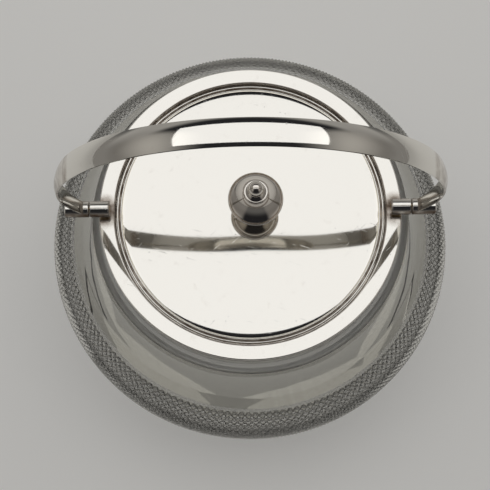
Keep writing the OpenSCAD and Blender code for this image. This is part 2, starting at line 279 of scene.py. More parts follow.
INNER_NECK_BEND = (0.4, 1.4)
PANEL_R = 56.0
PANEL_RIM = 0.8
PANEL_DEEP = 1.2
PANEL_SLOPE = 9.0
PANEL_STEPS = 8
PANEL_SIDES = 6
PANEL_TURN = 20.0

neck_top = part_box("glass_body")[1].z / MM


def arc(mid, radius, start, stop, steps):
    """Points along an arc of a section, with angles in degrees up from outward."""
    angles = [math.radians(start + (stop - start) * k / steps) for k in range(steps + 1)]
    return [(mid[0] + radius * math.cos(a), mid[1] + radius * math.sin(a)) for a in angles]


def arc_through(start, stop, radius, steps, inset=0.0):
    """Points along the arc through two corners, bent round a middle on their left."""
    a, b = Vector(start), Vector(stop)
    along = (b - a).normalized()
    out = Vector((-along.y, along.x))
    mid = (a + b) / 2 + out * math.sqrt(radius ** 2 - (b - a).length_squared / 4)
    first, last = [math.degrees(math.atan2(p.y - mid.y, p.x - mid.x)) for p in (a, b)]
    last += 360 * round((first - last) / 360)
    return arc(mid, radius - inset, first, last, steps)


def turned(profile, middle=(0, 0), columns=TURNS):
    """Rings of points round an upright axis for each (radius, height) in mm."""
    steps = [2 * math.pi * c / columns for c in range(columns)]
    return [[Vector(((middle[0] + r * math.cos(a)) * MM,
                     (middle[1] + r * math.sin(a)) * MM, z * MM))
             for a in steps] for r, z in profile]


def skin(name, rings, ends="open", cut=range(0)):
    """Joins closed rings of points into a mesh. Rings in cut meet in points and pits."""
    mesh = bmesh.new()
    pit = mesh.verts.layers.float.new("pit")
    corners = [[mesh.verts.new(p) for p in one] for one in rings]
    count = len(rings[0])
    for k in cut:
        for c in range(count):
            corners[k][c][pit] = PIT_MARK if (c + k - cut[0]) % 2 else POINT_MARK
    for k in range(len(rings) if ends == "joined" else len(rings) - 1):
        this, other = corners[k], corners[(k + 1) % len(rings)]
        for c in range(count):
            d = (c + 1) % count
            around = [this[c], other[c], other[d], this[d]]
            if k in cut and k + 1 in cut:
                f = 1 - (c + k - cut[0]) % 2
                mesh.faces.new([around[f], around[f + 1], around[f + 2]])
                mesh.faces.new([around[f], around[f + 2], around[(f + 3) % 4]])
            else:
                mesh.faces.new(around)
    if ends == "capped":
        mesh.faces.new(corners[0])
        mesh.faces.new(corners[-1])
    bmesh.ops.remove_doubles(mesh, verts=mesh.verts, dist=1e-7)
    bmesh.ops.recalc_face_normals(mesh, faces=mesh.faces)
    data = bpy.data.meshes.new(name)
    mesh.to_mesh(data)
    mesh.free()
    return data


def show(name, data, material, body, nodes, sharp=32):
    """Shows a mesh as the piece that rides on a body in place of its CAD nodes."""
    data.shade_smooth()
    data.set_sharp_from_angle(angle=math.radians(sharp))
    data.materials.append(material)
    piece = bpy.data.objects.new(name, data)
    bpy.context.scene.collection.objects.link(piece)
    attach(piece, body)
    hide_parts(*nodes)
    return piece


def panel_ring(radius, z):
    """A ring that follows the six-sided panel, for the radius of its corners."""
    corner_angle = 360 / PANEL_SIDES
    half = corner_angle / 2
    ring = []
    for c in range(TURNS):
        degrees = c * 360 / TURNS
        off = (degrees - PANEL_TURN) % corner_angle - half
        r = radius * math.cos(math.radians(half)) / math.cos(math.radians(off))
        a = math.radians(degrees)
        ring.append(Vector((r * math.cos(a), r * math.sin(a), z)) * MM)
    return ring


def wavy(rings):
    """Lays the slow waviness of mould-blown glass over rings of points."""
    return [[p + Vector((p.x, p.y, 0)).normalized() * SHOULDER_WAVE * MM
             * noise.noise(p / (WAVE_LONG * MM)) for p in ring] for ring in rings]


# The diamonds: points stand on the barrel's outline, pits lie below it.
band_mid = (BELLY_R - BAND_CURVE, BELLY_Z)
bowl_mid = (BELLY_R - BOWL_CURVE, BELLY_Z)
band_top_angle = math.degrees(math.asin(BAND_RISE / BAND_CURVE))
upper_steps = round(math.radians(band_top_angle) * BAND_CURVE / DIAMOND_HALF_HIGH)
lower_steps = round(math.radians(BAND_LOW_ANGLE) * BOWL_CURVE / DIAMOND_HALF_HIGH)
heights = [(band_mid, BAND_CURVE, band_top_angle * (1 - k / upper_steps))
           for k in range(upper_steps)]
heights += [(bowl_mid, BOWL_CURVE, -BAND_LOW_ANGLE * k / lower_steps)
            for k in range(lower_steps + 1)]
cut_rings = []
for number, (mid, curve, degrees) in enumerate(heights):
    points = turned(arc(mid, curve, degrees, degrees, 1)[:1])[0]
    pits = turned(arc(mid, curve - DIAMOND_DEEP, degrees, degrees, 1)[:1])[0]
    cut_rings.append([pits[c] if (c + number) % 2 else points[c] for c in range(TURNS)])

# The rest of the outline, from the floor inside up over the neck and down to the base.
band_top = (BELLY_R - BAND_DRAW, BELLY_Z + BAND_RISE)
lip = (band_top[0] - BAND_LIP, band_top[1])
shoulder_top = (SHOULDER_R, SHOULDER_Z)
shoulder = arc_through(shoulder_top, lip, SHOULDER_CURVE, SHOULDER_STEPS)[2:]
inner_shoulder = arc_through(shoulder_top, lip, SHOULDER_CURVE, SHOULDER_STEPS, -GLASS_WALL)
floor_angle = math.degrees(math.asin((BELLY_Z - GLASS_FLOOR) / (BOWL_CURVE - GLASS_WALL)))
foot_angle = math.degrees(math.asin((BELLY_Z - FOOT_CHAMFER) / BOWL_CURVE))
neck_foot = SHOULDER_Z - GLASS_WALL

inside = [(r, GLASS_FLOOR) for r in FLOOR_RINGS]
inside += arc(bowl_mid, BOWL_CURVE - GLASS_WALL, FLOOR_BEND_ANGLE - floor_angle, 0, 24)
inside += arc(band_mid, BAND_CURVE - GLASS_WALL, *INNER_BAND_ANGLES, 12)
inside += [p for p in reversed(inner_shoulder) if INNER_LIP_Z < p[1] < neck_foot]
inside += [(NECK_IN_R + NECK_ROUND, neck_foot + INNER_NECK_BEND[0]),
           (NECK_IN_R, neck_foot + INNER_NECK_BEND[1])]
neck = [(NECK_IN_R, neck_top - NECK_ROUND), (NECK_IN_R + NECK_ROUND, neck_top),
        (NECK_R - NECK_ROUND, neck_top), (NECK_R, neck_top - NECK_ROUND),
        (NECK_R, SHOULDER_Z + NECK_ROUND), (NECK_R + NECK_ROUND, SHOULDER_Z),
        (SHOULDER_R - BEAD_HALF - BEAD_FLAT, SHOULDER_Z)]
neck += [(SHOULDER_R - BEAD_HALF * math.cos(a), SHOULDER_Z + BEAD_HIGH * math.sin(a))
         for a in [math.radians(15 * k) for k in range(1, 12)]]
bowl = arc(bowl_mid, BOWL_CURVE, -PLAIN_FROM_ANGLE, -foot_angle, 18)
base = [(FOOT_R - FOOT_CHAMFER, 0), (PANEL_R + PANEL_RIM, 0)]

glass_rings = wavy(turned(inside)) + turned(neck) + wavy(turned(shoulder)) + turned([band_top])
first_cut = len(glass_rings)
glass_rings += cut_rings
last_cut = len(glass_rings)
glass_rings += turned(bowl) + turned(base)
for k in range(PANEL_STEPS + 1):
    t = k / PANEL_STEPS
    eased = 0.5 - 0.5 * math.cos(math.pi * t)
    glass_rings.append(panel_ring(PANEL_R - PANEL_SLOPE * t, PANEL_DEEP * eased))
glass_rings.append(panel_ring(0, PANEL_DEEP))

# Polished lead glass: nearly colourless, a high index that gives strong bright
# and dark edges, and a few dull specks of wear that scatter the light. The cut
# diamonds are a little duller than the rest, and their pits are coloured dark as
# painted shade. The neck is left as dull as it was ground.
GLASS_TINT = linear("#e2e1dd")
# Painted shade: the dark colour of the deepest pits of the cut diamonds.
PIT_SHADE_COLOUR = linear("#2d2a26")
PIT_SHADE_FROM = 0.74
PIT_SHADE_STRENGTH = 0.85
CUT_FROM = 0.1
CUT_DULL = 0.15
CUT_CLEAR = 0.95
WEAR_SPECK = 0.9
WEAR_SPARSE = (0.6, 0.8)
WEAR_DULL = 0.15
GROUND_FROM = 83.4
GROUND_DULL = 0.45
RIPPLE_LONG = 9.0
RIPPLE_HIGH = 0.3

lead_glass, tree = empty_material("lead_glass_fire_polished")
where = add(tree, "ShaderNodeTexCoord")
specks = add(tree, "ShaderNodeTexNoise", {"Scale": 1 / (WEAR_SPECK * MM), "Detail": 3.0},
             {"Vector": where.outputs["Object"]})
wear = add(tree, "ShaderNodeMapRange",
           {"From Min": WEAR_SPARSE[0], "From Max": WEAR_SPARSE[1],
            "To Min": 0.0, "To Max": WEAR_DULL}, {"Value": specks.outputs[0]})
place = add(tree, "ShaderNodeSeparateXYZ", links={0: where.outputs["Object"]})
ground = add(tree, "ShaderNodeMapRange",
             {"From Min": GROUND_FROM * MM, "From Max": SHOULDER_Z * MM,
              "To Min": 0.0, "To Max": GROUND_DULL},
             {"Value": place.outputs["Z"]}, interpolation_type="SMOOTHSTEP")
depth = add(tree, "ShaderNodeAttribute", attribute_name="pit")
cut = add(tree, "ShaderNodeMapRange",
          {"From Min": CUT_FROM, "From Max": POINT_MARK, "To Min": 0.0, "To Max": CUT_DULL},
          {"Value": depth.outputs["Fac"]})
clear = add(tree, "ShaderNodeMapRange",
            {"From Min": CUT_FROM, "From Max": POINT_MARK, "To Min": 1.0, "To Max": CUT_CLEAR},
            {"Value": depth.outputs["Fac"]})
# Painted shade in the diamonds' pits, darkest in the deepest ones.
pit_shade = add(tree, "ShaderNodeMapRange",
           {"From Min": PIT_SHADE_FROM, "From Max": PIT_MARK, "To Min": 0.0, "To Max": PIT_SHADE_STRENGTH},
           {"Value": depth.outputs["Fac"]})
glass_colour = add(tree, "ShaderNodeMix", {6: GLASS_TINT, 7: PIT_SHADE_COLOUR}, {0: pit_shade.outputs[0]},
                   data_type="RGBA")
unpolished = add(tree, "ShaderNodeMath", links={0: ground.outputs[0], 1: cut.outputs[0]},
                 operation="MAXIMUM")
dull = add(tree, "ShaderNodeMath", links={0: wear.outputs[0], 1: unpolished.outputs[0]},
           operation="MAXIMUM")
ripple = add(tree, "ShaderNodeTexNoise", {"Scale": 1 / (RIPPLE_LONG * MM), "Detail": 1.0},
             {"Vector": where.outputs["Object"]})
ripple_bump = add(tree, "ShaderNodeBump", {"Strength": 0.12, "Distance": RIPPLE_HIGH * MM},
                  {"Height": ripple.outputs[0]})
glass_shader = add(tree, "ShaderNodeBsdfPrincipled",
                   {"IOR": 1.56, "Specular IOR Level": 0.9},
                   {"Base Color": glass_colour.outputs[2], "Roughness": dull.outputs[0],
                    "Transmission Weight": clear.outputs[0], "Normal": ripple_bump.outputs[0]})
add(tree, "ShaderNodeOutputMaterial", links={"Surface": glass_shader.outputs[0]})

show("glass_barrel", skin("glass_barrel", glass_rings, "open", range(first_cut, last_cut)),
     lead_glass, "jar", ["glass_body"], sharp=14)


# ---------------------------------------------------------------- plaster in the collar
# Cream plaster of Paris that was poured into the collar's channel and holds it
# on the ground neck. It is hidden by the collar, and shows only through glass.
# Set plaster: quite matt, with a fine uneven grain.
PLASTER_SHADE = linear("#b9ac92")
PLASTER_PALE = linear("#d8cfba")
GRAIN_WIDE = 1.5
GRAIN_HIGH = 0.2

plaster, tree = empty_material("cream_plaster")
where = add(tree, "ShaderNodeTexCoord")
grain = add(tree, "ShaderNodeTexNoise", {"Scale": 1 / (GRAIN_WIDE * MM), "Detail": 6.0},
            {"Vector": where.outputs["Object"]})
plaster_colour = add(tree, "ShaderNodeMix", {6: PLASTER_SHADE, 7: PLASTER_PALE},
                     {0: grain.outputs[0]}, data_type="RGBA")
grain_bump = add(tree, "ShaderNodeBump", {"Strength": 0.5, "Distance": GRAIN_HIGH * MM},
                 {"Height": grain.outputs[0]})
plaster_shader = add(tree, "ShaderNodeBsdfPrincipled", {"Roughness": 0.85},
                     {"Base Color": plaster_colour.outputs[2], "Normal": grain_bump.outputs[0]})
add(tree, "ShaderNodeOutputMaterial", links={"Surface": plaster_shader.outputs[0]})
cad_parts["collar_cement"].material_slots[0].material = plaster


# ---------------------------------------------------------------- collar
# Silver-plated sheet, spun in one piece: a skirt with a rolled edge, a flat
# ring, a recess with a ledge for the lid, and a throat. It is plastered on.
COLLAR_R = 55.0
COLLAR_SHEET = 1.1
COLLAR_ROLL = 0.5
SHEET_BEND = 0.3
SKIRT_LOW = collar_top - 8.6
SKIRT_HEM = 0.5
SKIRT_INSIDE_LOW = SKIRT_LOW + 0.6
RECESS_R = 49.3
RECESS_ROUND = 0.7
RING_CROWN = 0.09
RING_STEPS = 12
LEDGE_Z = collar_top - 2.4
LEDGE_ROUND = 0.5
THROAT_R = 46.5
THROAT_LOW = LEDGE_Z - 6.0

collar_profile = arc((COLLAR_R - COLLAR_ROLL, collar_top - COLLAR_ROLL), COLLAR_ROLL, 90, 0, 14)
collar_profile += arc((COLLAR_R - SKIRT_HEM, SKIRT_LOW + SKIRT_HEM), SKIRT_HEM, 0, -180, 8)
collar_profile += [(COLLAR_R - COLLAR_SHEET, SKIRT_INSIDE_LOW),
                   (COLLAR_R - COLLAR_SHEET, collar_top - COLLAR_SHEET - SHEET_BEND),
                   (COLLAR_R - COLLAR_SHEET - SHEET_BEND, collar_top - COLLAR_SHEET),
                   (RECESS_R + COLLAR_SHEET + SHEET_BEND, collar_top - COLLAR_SHEET),
                   (RECESS_R + COLLAR_SHEET, collar_top - COLLAR_SHEET - SHEET_BEND),
                   (RECESS_R + COLLAR_SHEET, LEDGE_Z - COLLAR_SHEET),
                   (THROAT_R + COLLAR_SHEET, LEDGE_Z - COLLAR_SHEET)]
collar_profile += arc((THROAT_R + COLLAR_SHEET / 2, THROAT_LOW + COLLAR_SHEET / 2),
                      COLLAR_SHEET / 2, 0, -180, 8)
collar_profile += arc((THROAT_R + LEDGE_ROUND, LEDGE_Z - LEDGE_ROUND), LEDGE_ROUND, 180, 90, 6)
collar_profile += [(RECESS_R - SHEET_BEND, LEDGE_Z), (RECESS_R, LEDGE_Z + SHEET_BEND)]
collar_profile += arc((RECESS_R + RECESS_ROUND, collar_top - RECESS_ROUND), RECESS_ROUND,
                      180, 90, 8)
ring_mid = (COLLAR_R - COLLAR_ROLL + RECESS_R + RECESS_ROUND) / 2
ring_half = (COLLAR_R - COLLAR_ROLL - RECESS_R - RECESS_ROUND) / 2
for k in range(1, RING_STEPS):
    along = -1 + 2 * k / RING_STEPS
    crown = RING_CROWN * (1 - along ** 2)
    collar_profile.append((ring_mid + ring_half * along, collar_top + crown))

# Polished silver plate: a warm white metal with hairline scratches from wiping,
# small pits, and brown tarnish in the creases that a cloth misses. The same brown
# bands also serve as painted shade on some parts' darker sides. Real hairlines are
# too fine to show, so they are drawn a third of a millimetre wide.
SILVER = linear("#f1eee7")
TARNISH_AND_SHADE = linear("#8a6a45")
DARK_TARNISH_AND_SHADE = linear("#5c442c")
TARNISH_AND_SHADE_PATCH = 3.5
TARNISH_AND_SHADE_UNEVEN = (0.3, 0.65)
TARNISH_AND_SHADE_LEAST = 0.35
TARNISH_AND_SHADE_DULL = 0.25
TARNISH_AND_SHADE_COVERS = 0.75
DARK_BAND_CORE = 0.2
FILM_PATCHES = (0.62, 0.9)
FILM_THICK = 0.12
HAIRLINE = 0.35
HAIRLINE_SPARSE = (0.71, 0.78)
# Three sets of strokes: their turn in radians, and how many times longer than wide.
HAIRLINE_STROKES = ((0.35, 34), (1.25, 26), (2.3, 30))
HAIRLINE_DEEP = 0.5
PIT_SPACING = 4.0
PIT_R = 0.28
MARKS_HIGH = 0.02
MARKS_DULL = 0.15
POLISHED_ROUGH = 0.055
ROUND_Z = (1, 1, 0)
ALONG_X = (1, 0, 0)
ALONG_Y = (0, 1, 0)
ALONG_Z = (0, 0, 1)
MIDDLE = (0, 0, 0)


def silver_plate(name, dark_bands, silver=SILVER, haze=0.0):
    """Makes silver plate, darkened along its bands and hazed all over by age.

    A band is (directions, middle, distance, half width, strength): it lies at that
    distance in mm from the middle, measured only in the directions marked 1. Some
    bands are brown tarnish in creases, and others are painted shade."""
    material, tree = empty_material(name)
    where = add(tree, "ShaderNodeTexCoord").outputs["Object"]
    patchy = add(tree, "ShaderNodeTexNoise", {"Scale": 1 / (TARNISH_AND_SHADE_PATCH * MM), "Detail": 5.0},
                 {"Vector": where})
    tarnish_and_shade = None
    for directions, middle, radius, half, strength in dark_bands:
        flat = add(tree, "ShaderNodeVectorMath", {1: directions}, {0: where}, operation="MULTIPLY")
        spot = [m * d * MM for m, d in zip(middle, directions)]
        away = add(tree, "ShaderNodeVectorMath", {1: spot}, {0: flat.outputs[0]},
                   operation="DISTANCE")
        off = add(tree, "ShaderNodeMath", {1: radius * MM}, {0: away.outputs["Value"]},
                  operation="SUBTRACT")
        near = add(tree, "ShaderNodeMath", links={0: off.outputs[0]}, operation="ABSOLUTE")
        mask = add(tree, "ShaderNodeMapRange",
                   {"From Min": half * MM, "From Max": half * DARK_BAND_CORE * MM,
                    "To Min": 0.0, "To Max": strength},
                   {"Value": near.outputs[0]}, interpolation_type="SMOOTHSTEP").outputs[0]
        tarnish_and_shade = mask if tarnish_and_shade is None else add(
            tree, "ShaderNodeMath", links={0: tarnish_and_shade, 1: mask}, operation="MAXIMUM").outputs[0]
    uneven = add(tree, "ShaderNodeMapRange",
                 {"From Min": TARNISH_AND_SHADE_UNEVEN[0], "From Max": TARNISH_AND_SHADE_UNEVEN[1],
                  "To Min": TARNISH_AND_SHADE_LEAST, "To Max": 1.0}, {"Value": patchy.outputs[0]})
    film = add(tree, "ShaderNodeMapRange",
               {"From Min": FILM_PATCHES[0], "From Max": FILM_PATCHES[1],
                "To Min": 0.0, "To Max": FILM_THICK}, {"Value": patchy.outputs[0]})
    dark_band_mask = add(tree, "ShaderNodeMath", links={0: uneven.outputs[0], 1: tarnish_and_shade},
                 operation="MULTIPLY")
    amount = add(tree, "ShaderNodeMath", links={0: dark_band_mask.outputs[0], 1: film.outputs[0]},
                 operation="MAXIMUM")
    # These browns colour both the real tarnish and the painted shade.
    brown = add(tree, "ShaderNodeMix", {6: TARNISH_AND_SHADE, 7: DARK_TARNISH_AND_SHADE}, {0: dark_band_mask.outputs[0]},
                data_type="RGBA")
    colour = add(tree, "ShaderNodeMix", {6: silver}, {0: amount.outputs[0], 7: brown.outputs[2]},
                 data_type="RGBA")

    scratched = None
    for angle, stretch in HAIRLINE_STROKES:
        laid = add(tree, "ShaderNodeMapping",
                   {"Rotation": (0, 0, angle), "Scale": (1, stretch, stretch)},
                   {"Vector": where}, vector_type="TEXTURE")
        hair = add(tree, "ShaderNodeTexNoise", {"Scale": 1 / (HAIRLINE * MM), "Detail": 2.0},
                   {"Vector": laid.outputs[0]})
        line = add(tree, "ShaderNodeMapRange",
                   {"From Min": HAIRLINE_SPARSE[0], "From Max": HAIRLINE_SPARSE[1]},
                   {"Value": hair.outputs[0]}).outputs[0]
        scratched = line if scratched is None else add(
            tree, "ShaderNodeMath", links={0: scratched, 1: line}, operation="ADD").outputs[0]
    pits = add(tree, "ShaderNodeTexVoronoi", {"Scale": 1 / (PIT_SPACING * MM), "Randomness": 1.0},
               {"Vector": where})
    pit = add(tree, "ShaderNodeMapRange",
              {"From Min": PIT_R / PIT_SPACING / 2, "From Max": PIT_R / PIT_SPACING,
               "To Min": 1.0, "To Max": 0.0}, {"Value": pits.outputs["Distance"]})
    marks = add(tree, "ShaderNodeMath", {1: HAIRLINE_DEEP}, {0: scratched, 2: pit.outputs[0]},
                operation="MULTIPLY_ADD")
    dulled = add(tree, "ShaderNodeMath", {1: TARNISH_AND_SHADE_DULL, 2: POLISHED_ROUGH + haze},
                 {0: amount.outputs[0]}, operation="MULTIPLY_ADD")
    rough = add(tree, "ShaderNodeMath", {1: MARKS_DULL},
                {0: marks.outputs[0], 2: dulled.outputs[0]}, operation="MULTIPLY_ADD")
    cut_in = add(tree, "ShaderNodeBump", {"Strength": 0.35, "Distance": MARKS_HIGH * MM},
                 {"Height": marks.outputs[0]}, invert=True)
    bare = add(tree, "ShaderNodeMath", {1: -TARNISH_AND_SHADE_COVERS, 2: 1.0}, {0: dark_band_mask.outputs[0]},
               operation="MULTIPLY_ADD")
    shader = add(tree, "ShaderNodeBsdfPrincipled", {"Specular IOR Level": 0.3},
                 {"Base Color": colour.outputs[2], "Roughness": rough.outputs[0],
                  "Metallic": bare.outputs[0], "Normal": cut_in.outputs[0]})
    add(tree, "ShaderNodeOutputMaterial", links={"Surface": shader.outputs[0]})
    return material


# The collar is darker round the foot of each lug.
LUG_DARK_X = 52.8
LUG_DARK_HALF = 6.0
collar_silver = silver_plate("silver_plate_spun_collar",
                             [(ROUND_Z, MIDDLE, COLLAR_R, 0.7, 0.12),
                              (ALONG_Z, (0, 0, SKIRT_LOW), 0.0, 1.3, 0.85),
                              (ROUND_Z, MIDDLE, RECESS_R + 0.1, 0.6, 0.7),
                              (ROUND_Z, (LUG_DARK_X, 0, 0), 1.5, LUG_DARK_HALF, 0.95),
                              (ROUND_Z, (-LUG_DARK_X, 0, 0), 1.5, LUG_DARK_HALF, 0.95)])
show("collar", skin("collar", turned(collar_profile), "joined"), collar_silver,
     "jar", ["collar"])


# ---------------------------------------------------------------- lugs and their cradles
# Two short drawn tubes, soldered into low cradles on the collar's flat ring.
# Each holds a brass pin that the bail's knuckle turns on.
AXIS_Z = collar_top + 3.1
TUBE_R = 2.9
TUBE_COLUMNS = 64
BORE_CHAMFER = 0.15
PIN_R = 1.25
LUG_IN = 50.7
LUG_OUT = 57.83
LUG_ROUND = 0.35
CRADLE_HALF = 1.7
CRADLE_FROM = 0.4
CRADLE_MID = LUG_IN + CRADLE_FROM + CRADLE_HALF
CRADLE_HALF_WIDE = 3.2
CRADLE_DRAW = 0.5
CRADLE_HIGH = 1.45
CRADLE_END_HIGH = 0.35
CRADLE_SQUARENESS = 6
CRADLE_TOE = 0.45
CRADLE_HUG = 2.75
CRADLE_SINK = 0.02
CRADLE_FOOT_IN = 0.1
CRADLE_STEPS = 12
SADDLE_STEPS = 24


def tube_rings(side, from_x, to_x, bore, edge):
    """Rings of a tube along X with rounded ends, for one side of the jar."""
    rounds = [(TUBE_R - edge + edge * math.sin(a), edge - edge * math.cos(a))
              for a in [math.radians(15 * k) for k in range(7)]]
    section = [(bore, from_x + BORE_CHAMFER), (bore + BORE_CHAMFER, from_x)]
    section += [(r, from_x + inward) for r, inward in rounds]
    section += [(r, to_x - inward) for r, inward in reversed(rounds)]
    section += [(bore + BORE_CHAMFER, to_x), (bore, to_x - BORE_CHAMFER)]
    steps = [2 * math.pi * c / TUBE_COLUMNS for c in range(TUBE_COLUMNS)]
    return [[Vector((side * x, r * math.cos(a), AXIS_Z + r * math.sin(a))) * MM for a in steps]
            for r, x in section]


def cradle_rings(side):
    """Rings of a solder seat: two low wedges that hug the tube's underside."""
    rings = []
    for k in range(CRADLE_STEPS + 1):
        along = -1 + 2 * k / CRADLE_STEPS
        swell = math.sqrt(max(0.0, 1 - along ** CRADLE_SQUARENESS))
        wide = CRADLE_HALF_WIDE - CRADLE_DRAW * (1 - swell)
        high = CRADLE_HIGH * (CRADLE_END_HIGH + (1 - CRADLE_END_HIGH) * swell)
        top = []
        for j in range(SADDLE_STEPS + 1):
            y = wide * (1 - 2 * j / SADDLE_STEPS)
            under = math.sqrt(TUBE_R ** 2 - min(abs(y), CRADLE_HUG) ** 2)
            saddle = AXIS_Z - under - collar_top + CRADLE_SINK
            slope = high * min(1.0, (wide - abs(y)) / CRADLE_TOE) ** 0.5
            top.append((y, min(saddle, slope)))
        bottom = [(CRADLE_FOOT_IN - wide, 0.0), (wide - CRADLE_FOOT_IN, 0.0)]
        rings.append([Vector((side * (CRADLE_MID + CRADLE_HALF * along), y, collar_top + z)) * MM
                      for y, z in top + bottom])
    return rings


# Soft solder, dull and stained brown by the flux and years of polish.
SOLDER_STAIN = linear("#4a3522")
SOLDER_GREY = linear("#a3906f")
STAIN_PATCH = 1.2
SOLDER_LUMP = 0.08

solder, tree = empty_material("soft_solder_stained")
where = add(tree, "ShaderNodeTexCoord")
stain = add(tree, "ShaderNodeTexNoise", {"Scale": 1 / (STAIN_PATCH * MM), "Detail": 5.0},
            {"Vector": where.outputs["Object"]})
solder_colour = add(tree, "ShaderNodeMix", {6: SOLDER_STAIN, 7: SOLDER_GREY},
                    {0: stain.outputs[0]}, data_type="RGBA")
solder_bump = add(tree, "ShaderNodeBump", {"Strength": 0.6, "Distance": SOLDER_LUMP * MM},
                  {"Height": stain.outputs[0]})
solder_shader = add(tree, "ShaderNodeBsdfPrincipled", {"Metallic": 0.85, "Roughness": 0.42},
                    {"Base Color": solder_colour.outputs[2], "Normal": solder_bump.outputs[0]})
add(tree, "ShaderNodeOutputMaterial", links={"Surface": solder_shader.outputs[0]})

# Turned brass: yellow, with fine rings left by the lathe tool. They are drawn
# coarser than real ones, so that they show.
BRASS_DARK = linear("#a8843f")
BRASS_LIGHT = linear("#c9a55c")
TOOL_MARK = 1.2
TOOL_MARK_HIGH = 0.02

brass, tree = empty_material("brass_turned")
where = add(tree, "ShaderNodeTexCoord")
tool_marks = add(tree, "ShaderNodeTexWave", {"Scale": 1 / (TOOL_MARK * MM), "Distortion": 0.4},
                 {"Vector": where.outputs["Object"]}, bands_direction="X")
brass_colour = add(tree, "ShaderNodeMix", {6: BRASS_DARK, 7: BRASS_LIGHT},
                   {0: tool_marks.outputs[0]}, data_type="RGBA")
brass_bump = add(tree, "ShaderNodeBump", {"Strength": 0.2, "Distance": TOOL_MARK_HIGH * MM},
                 {"Height": tool_marks.outputs[0]})
brass_shader = add(tree, "ShaderNodeBsdfPrincipled", {"Metallic": 1.0, "Roughness": 0.28},
                   {"Base Color": brass_colour.outputs[2], "Normal": brass_bump.outputs[0]})
add(tree, "ShaderNodeOutputMaterial", links={"Surface": brass_shader.outputs[0]})

# The band along Y is painted shade on the tube's front and back flanks. The other two bands darken
# its ends.
tube_silver = silver_plate("silver_plate_drawn_tube",
                           [(ALONG_X, MIDDLE, LUG_IN, 0.9, 0.8),
                            (ALONG_X, MIDDLE, LUG_OUT + 0.1, 0.3, 0.9),
                            (ALONG_Y, MIDDLE, TUBE_R, 1.3, 1.0)])
for word, side in (("left", -1), ("right", 1)):
    tube = tube_rings(side, LUG_IN, LUG_OUT, PIN_R, LUG_ROUND)
    show("lug_" + word, skin("lug_" + word, tube, "joined"),
         tube_silver, "jar", ["lug_" + word])
    show("lug_cradle_" + word, skin("lug_cradle_" + word, cradle_rings(side), "capped"),
         solder, "jar", ["lug_cradle_" + word])
    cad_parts["pivot_pin_" + word].material_slots[0].material = brass


# ---------------------------------------------------------------- lid
# A shallow dome of silver-plated sheet, spun with a flat rim and two fine
# beads. A plain ring soldered under it keeps it in the collar's throat.
LID_R = 48.8
LID_SHEET = 1.0
LID_CHAMFER = 0.3
LID_BEAD_ROUND = 0.4
LID_BEAD_UP = 0.8
GROOVE_R = 47.85
GROOVE_UP = 0.48
GROOVE_IN = 0.25
GROOVE_OUT = 0.15
FLAT_UP = 0.55
INNER_BEAD_R = 47.2
INNER_BEAD_ROUND = 0.3
INNER_BEAD_SINK = 0.15
INNER_BEAD_FOOT_R = INNER_BEAD_R - 0.42
INNER_BEAD_FOOT_DROP = 0.12
DOME_R = 314.0
DOME_EDGE_R = 47.3
DOME_LAST_R = INNER_BEAD_R - 0.62
DOME_LAST_DROP = 0.05
DOME_RINGS = 47
DOME_WAVE = 0.022
DOME_WAVE_LONG = 24.0
DOME_WAVE_FADE = 6
KNOB_X = 1.8
KNOB_Y = 0.0
KNOB_PULL = 0.16
KNOB_PULL_R = 9.0
UNDER_RIM_R = DOME_EDGE_R - 0.4
UNDER_DOME_R = DOME_EDGE_R - 1.2
UNDER_DOME_RINGS = (40, 30, 20, 10, 0)
FLANGE_R = 46.1
FLANGE_SHEET = 1.1
FLANGE_GAP = 0.02
FLANGE_LOW = LEDGE_Z - 6.6
FLANGE_EDGE = ((0, 0.4), (0.3, 0.1), (0.55, 0), (0.8, 0.1), (FLANGE_SHEET, 0.4))

dome_mid = LEDGE_Z + LID_SHEET - math.sqrt(DOME_R ** 2 - DOME_EDGE_R ** 2)


def dome_z(r, inset=0.0):
    """Height of the dome's sheet at a radius."""
    return dome_mid + math.sqrt((DOME_R - inset) ** 2 - r ** 2)


dome_rings = []
for ring in turned([(r, dome_z(r)) for r in range(DOME_RINGS)]):
    for p in ring:
        away = math.hypot(p.x - KNOB_X * MM, p.y - KNOB_Y * MM) / (KNOB_PULL_R * MM)
        fade = min(1.0, (DOME_EDGE_R - math.hypot(p.x, p.y) / MM) / DOME_WAVE_FADE)
        wave = noise.noise(p / (DOME_WAVE_LONG * MM)) * DOME_WAVE
        p.z += (KNOB_PULL * math.exp(-away ** 2 / 2) + wave * fade) * MM
    dome_rings.append(ring)
inner_bead_z = dome_z(INNER_BEAD_R) - INNER_BEAD_SINK
lid_edge = [(DOME_LAST_R, dome_z(DOME_LAST_R) - DOME_LAST_DROP),
            (INNER_BEAD_FOOT_R, inner_bead_z - INNER_BEAD_FOOT_DROP)]
lid_edge += arc((INNER_BEAD_R, inner_bead_z), INNER_BEAD_ROUND, 170, 10, 8)
lid_edge += [(GROOVE_R - GROOVE_IN, LEDGE_Z + FLAT_UP), (GROOVE_R, LEDGE_Z + GROOVE_UP),
             (GROOVE_R + GROOVE_OUT, LEDGE_Z + FLAT_UP)]
lid_edge += arc((LID_R - LID_BEAD_ROUND, LEDGE_Z + LID_BEAD_UP), LID_BEAD_ROUND, 170, 0, 14)
lid_edge += [(LID_R, LEDGE_Z + LID_CHAMFER), (LID_R - LID_CHAMFER, LEDGE_Z),
             (UNDER_RIM_R, LEDGE_Z), (UNDER_DOME_R, dome_z(UNDER_DOME_R, LID_SHEET))]
lid_edge += [(r, dome_z(r, LID_SHEET)) for r in UNDER_DOME_RINGS]
lid_silver = silver_plate("silver_plate_spun_lid",
                          [(ROUND_Z, MIDDLE, GROOVE_R, 0.5, 0.95),
                           (ROUND_Z, MIDDLE, LID_R + 0.1, 0.3, 0.95)])
